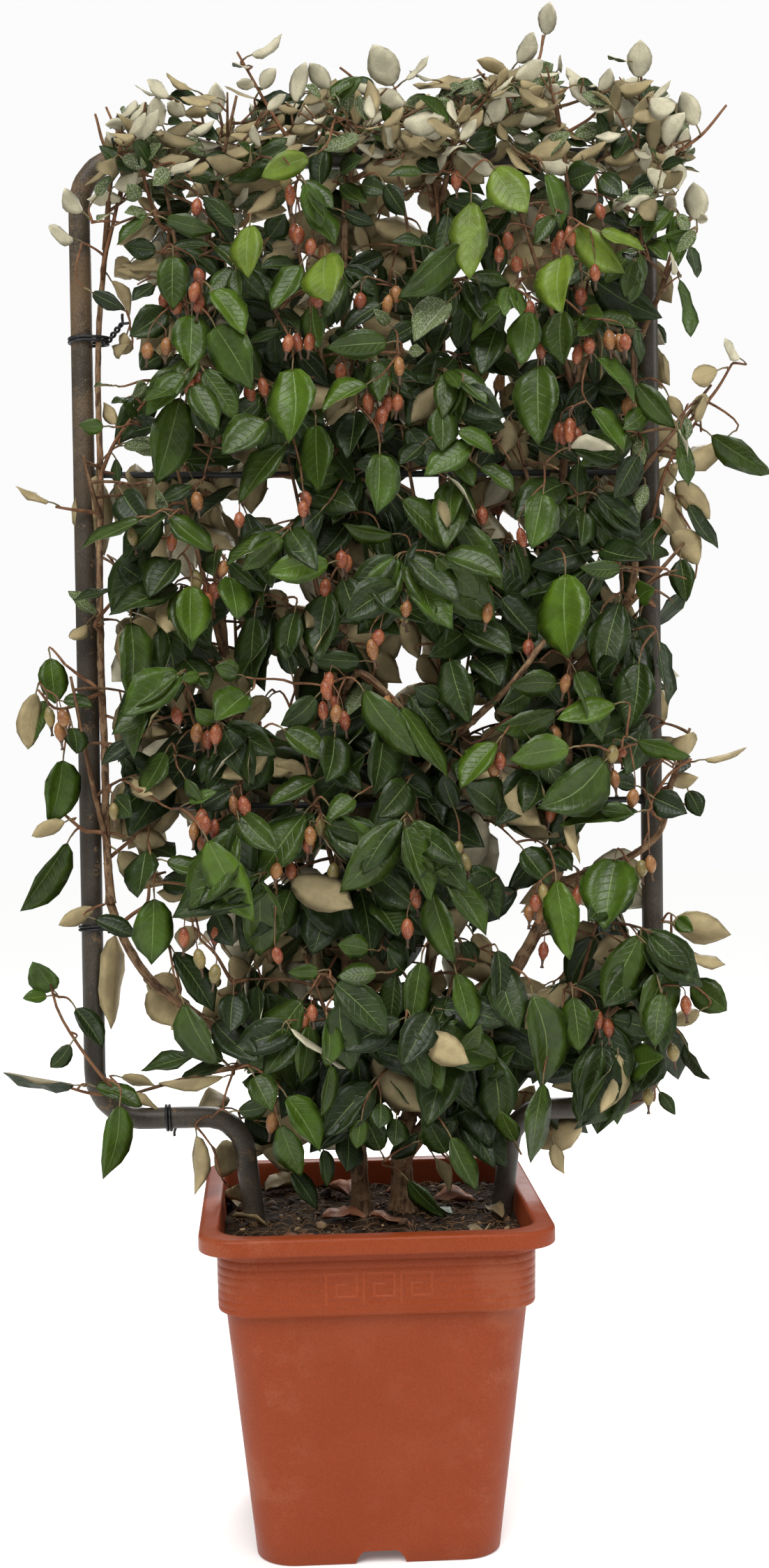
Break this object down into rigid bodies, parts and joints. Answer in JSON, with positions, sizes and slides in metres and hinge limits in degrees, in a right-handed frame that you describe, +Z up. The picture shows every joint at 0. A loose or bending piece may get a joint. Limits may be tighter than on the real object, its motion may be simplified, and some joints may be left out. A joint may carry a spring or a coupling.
{
  "type": "potted espaliered silverberry",
  "caption": "Evergreen fruiting shrub trained flat on a bent tube frame, with glossy leaves and speckled orange fruit, standing in a square terracotta-coloured pot.",
  "frame": {"origin": "middle of the pot's flat underside, where it stands", "axes": "+Z up along the stems, -Y towards the front of the espalier, X along its width"},
  "size_m": [0.7995, 0.345, 1.558],
  "materials": {
    "pot": "terracotta-coloured moulded plastic with a low sheen",
    "soil": "moist peat and bark compost",
    "steel": "dark coated steel tube with rust patches",
    "tie": "black plastic-coated wire",
    "bark": "thin grey-brown bark, redder on young shoots",
    "leaf": "leathery leaf, glossy green above and silvery beige below"
  },
  "bodies": {
    "root": {"pot": "pot", "soil": "soil", "frame_left_foot": "steel", "frame_left_upright": "steel", "frame_right_foot": "steel", "frame_right_upright": "steel", "frame_rod_1": "steel", "frame_rod_2": "steel", "frame_top": "steel", "tie_bottom_rail": "tie", "tie_left_upright": "tie", "trunk_left": "bark", "trunk_right": "bark", "bough_left_low": "bark", "bough_left_high": "bark", "bough_inner_left": "bark", "bough_centre_left": "bark", "bough_centre_right": "bark", "bough_right_low": "bark", "bough_right_high": "bark", "bough_right_cross": "bark", "bough_right_outer": "bark", "bough_right_side": "bark", "foliage_centre_left_back_high": "leaf", "foliage_centre_left_back_low": "leaf", "foliage_centre_left_front": "leaf", "foliage_centre_left_front_high": "leaf", "foliage_centre_left_front_low": "leaf", "foliage_centre_left_root": "leaf", "foliage_centre_left_top": "leaf", "foliage_centre_right_back_high": "leaf", "foliage_centre_right_back_low": "leaf", "foliage_centre_right_front": "leaf", "foliage_centre_right_front_high": "leaf", "foliage_centre_right_front_low": "leaf", "foliage_centre_right_root": "leaf", "foliage_centre_right_top": "leaf", "foliage_inner_left_back_high": "leaf", "foliage_inner_left_back_low": "leaf", "foliage_inner_left_front": "leaf", "foliage_inner_left_front_high": "leaf", "foliage_inner_left_front_low": "leaf", "foliage_inner_left_top": "leaf", "foliage_left_foot": "leaf", "foliage_left_lower": "leaf", "foliage_left_top": "leaf", "foliage_left_upper": "leaf", "foliage_outer_right_high": "leaf", "foliage_outer_right_middle": "leaf", "foliage_outer_right_top": "leaf", "foliage_outer_right_upper": "leaf", "foliage_right_back_high": "leaf", "foliage_right_back_low": "leaf", "foliage_right_cross_tip": "leaf", "foliage_right_foot": "leaf", "foliage_right_front": "leaf", "foliage_right_front_high": "leaf", "foliage_right_front_low": "leaf", "foliage_right_side_tip": "leaf", "foliage_right_top": "leaf"}
  },
  "joints": []
}
